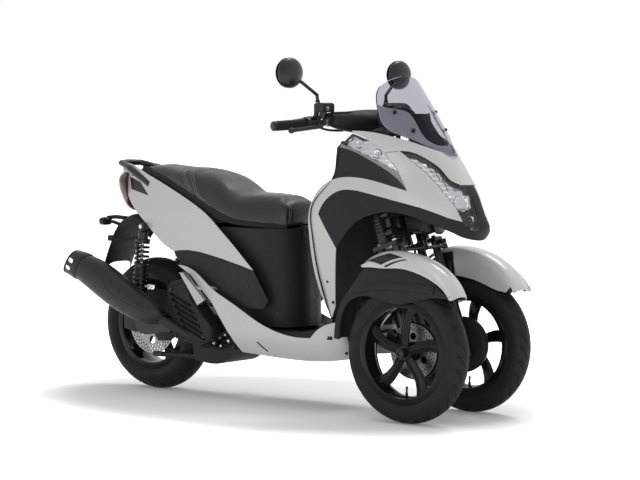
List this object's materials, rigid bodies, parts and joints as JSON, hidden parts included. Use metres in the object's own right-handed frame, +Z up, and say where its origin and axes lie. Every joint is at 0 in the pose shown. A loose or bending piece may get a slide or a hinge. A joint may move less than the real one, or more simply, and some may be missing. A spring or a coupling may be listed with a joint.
{
  "type": "reverse trike",
  "caption": "Leaning scooter with paired steered front wheels, a driven rear wheel, stepped seat, windscreen, stands and storage under the seat.",
  "frame": {"origin": "on the floor, midway along the length and on the centre plane", "axes": "+X forward, +Y to the rider's left, +Z up"},
  "size_m": [1.8977, 0.782, 1.277],
  "materials": {
    "white_paint": "pearl white paint on moulded panels",
    "textured_plastic": "grained dark grey moulding",
    "black_plastic": "gloss black moulding",
    "grey_plastic": "light grey satin moulding",
    "clear_lens": "clear lens",
    "red_lens": "red lens",
    "smoke_screen": "smoke tinted screen",
    "black_steel": "black enamel on steel",
    "black_wheel": "gloss black cast wheel",
    "cast_aluminium": "dark painted castings",
    "bare_aluminium": "satin alloy",
    "muffler_black": "heatproof satin black",
    "disc_steel": "drilled steel disc",
    "tyre_rubber": "road tyre",
    "grip_rubber": "ribbed grip rubber",
    "seat_vinyl": "charcoal seat vinyl with stitched seams"
  },
  "bodies": {
    "chassis": {"frame": "black_steel", "lean_linkage": "black_steel", "engine": "cast_aluminium", "drive_case": "cast_aluminium", "swing_arm": "black_steel", "radiator_guard": "textured_plastic", "muffler": "muffler_black", "rear_shocks": "black_steel", "rear_mudguard": "textured_plastic", "floor_cover": "textured_plastic", "lower_side_covers": "white_paint", "rear_side_covers": "white_paint", "rear_lower_covers": "textured_plastic", "seat_base": "textured_plastic", "tail_lamp": "red_lens", "grab_rail": "black_steel", "cowl_sides": "white_paint", "inner_leg_shield": "textured_plastic", "hood": "white_paint", "arch_covers": "textured_plastic", "chin": "textured_plastic", "side_panels": "black_plastic", "light_bands": "grey_plastic", "headlight": "clear_lens", "indicators": "clear_lens", "windscreen": "smoke_screen", "screen_base": "textured_plastic", "meter": "textured_plastic", "passenger_pegs": "bare_aluminium"},
    "handlebar": {"handlebar": "black_steel", "handlebar_cover": "textured_plastic", "grips": "grip_rubber", "controls": "black_plastic", "mirrors": "black_plastic"},
    "tie_rod": {"tie_rod": "black_steel"},
    "centre_stand": {"centre_stand": "black_steel"},
    "side_stand": {"side_stand": "black_steel"},
    "seat": {"seat": "seat_vinyl", "seat_pan": "textured_plastic"},
    "fork_left": {"fork_left": "black_steel", "fender_base_left": "textured_plastic", "fender_cover_left": "white_paint"},
    "wheel_front_left": {"rim_front_left": "black_wheel", "tyre_front_left": "tyre_rubber", "disc_front_left": "disc_steel"},
    "fork_right": {"fork_right": "black_steel", "fender_base_right": "textured_plastic", "fender_cover_right": "white_paint"},
    "wheel_front_right": {"rim_front_right": "black_wheel", "tyre_front_right": "tyre_rubber", "disc_front_right": "disc_steel"},
    "wheel_rear": {"rim_rear": "black_wheel", "tyre_rear": "tyre_rubber", "disc_rear": "disc_steel"}
  },
  "joints": [
    {"name": "steering", "type": "hinge", "parent": "chassis", "child": "handlebar", "pos_m": [0.51148, 0, 0.70477], "axis": [-0.342, 0, 0.9397], "range_deg": [-30, 30]},
    {"name": "tie_rod_turn", "type": "hinge", "parent": "handlebar", "child": "tie_rod", "pos_m": [0.633, 0, 0.61065], "axis": [-0.342, 0, 0.9397], "range_deg": [-30, 30]},
    {"name": "king_pin_left", "type": "hinge", "parent": "chassis", "child": "fork_left", "pos_m": [0.52175, 0.118, 0.67658], "axis": [-0.342, 0, 0.9397], "range_deg": [-30, 30]},
    {"name": "roll_front_left", "type": "hinge", "parent": "fork_left", "child": "wheel_front_left", "pos_m": [0.7, 0.1925, 0.25], "axis": [0, 1, 0], "continuous": true},
    {"name": "king_pin_right", "type": "hinge", "parent": "chassis", "child": "fork_right", "pos_m": [0.52175, -0.118, 0.67658], "axis": [-0.342, 0, 0.9397], "range_deg": [-30, 30]},
    {"name": "roll_front_right", "type": "hinge", "parent": "fork_right", "child": "wheel_front_right", "pos_m": [0.7, -0.1925, 0.25], "axis": [0, 1, 0], "continuous": true},
    {"name": "roll_rear", "type": "hinge", "parent": "chassis", "child": "wheel_rear", "pos_m": [-0.65, 0, 0.258], "axis": [0, 1, 0], "continuous": true},
    {"name": "seat_hinge", "type": "hinge", "parent": "chassis", "child": "seat", "pos_m": [0.102, 0, 0.657], "axis": [0, 1, 0], "range_deg": [0, 68]},
    {"name": "centre_stand_swing", "type": "hinge", "parent": "chassis", "child": "centre_stand", "pos_m": [-0.388, 0, 0.152], "axis": [0, 1, 0], "range_deg": [-97, 0]},
    {"name": "side_stand_swing", "type": "hinge", "parent": "chassis", "child": "side_stand", "pos_m": [-0.09, 0.136, 0.2], "axis": [0, 1, 0], "range_deg": [-100, 0]}
  ],
  "couplings": [
    {"joint": "tie_rod_turn", "follows": "steering", "ratio": -1},
    {"joint": "king_pin_left", "follows": "steering", "ratio": 1},
    {"joint": "king_pin_right", "follows": "steering", "ratio": 1}
  ]
}
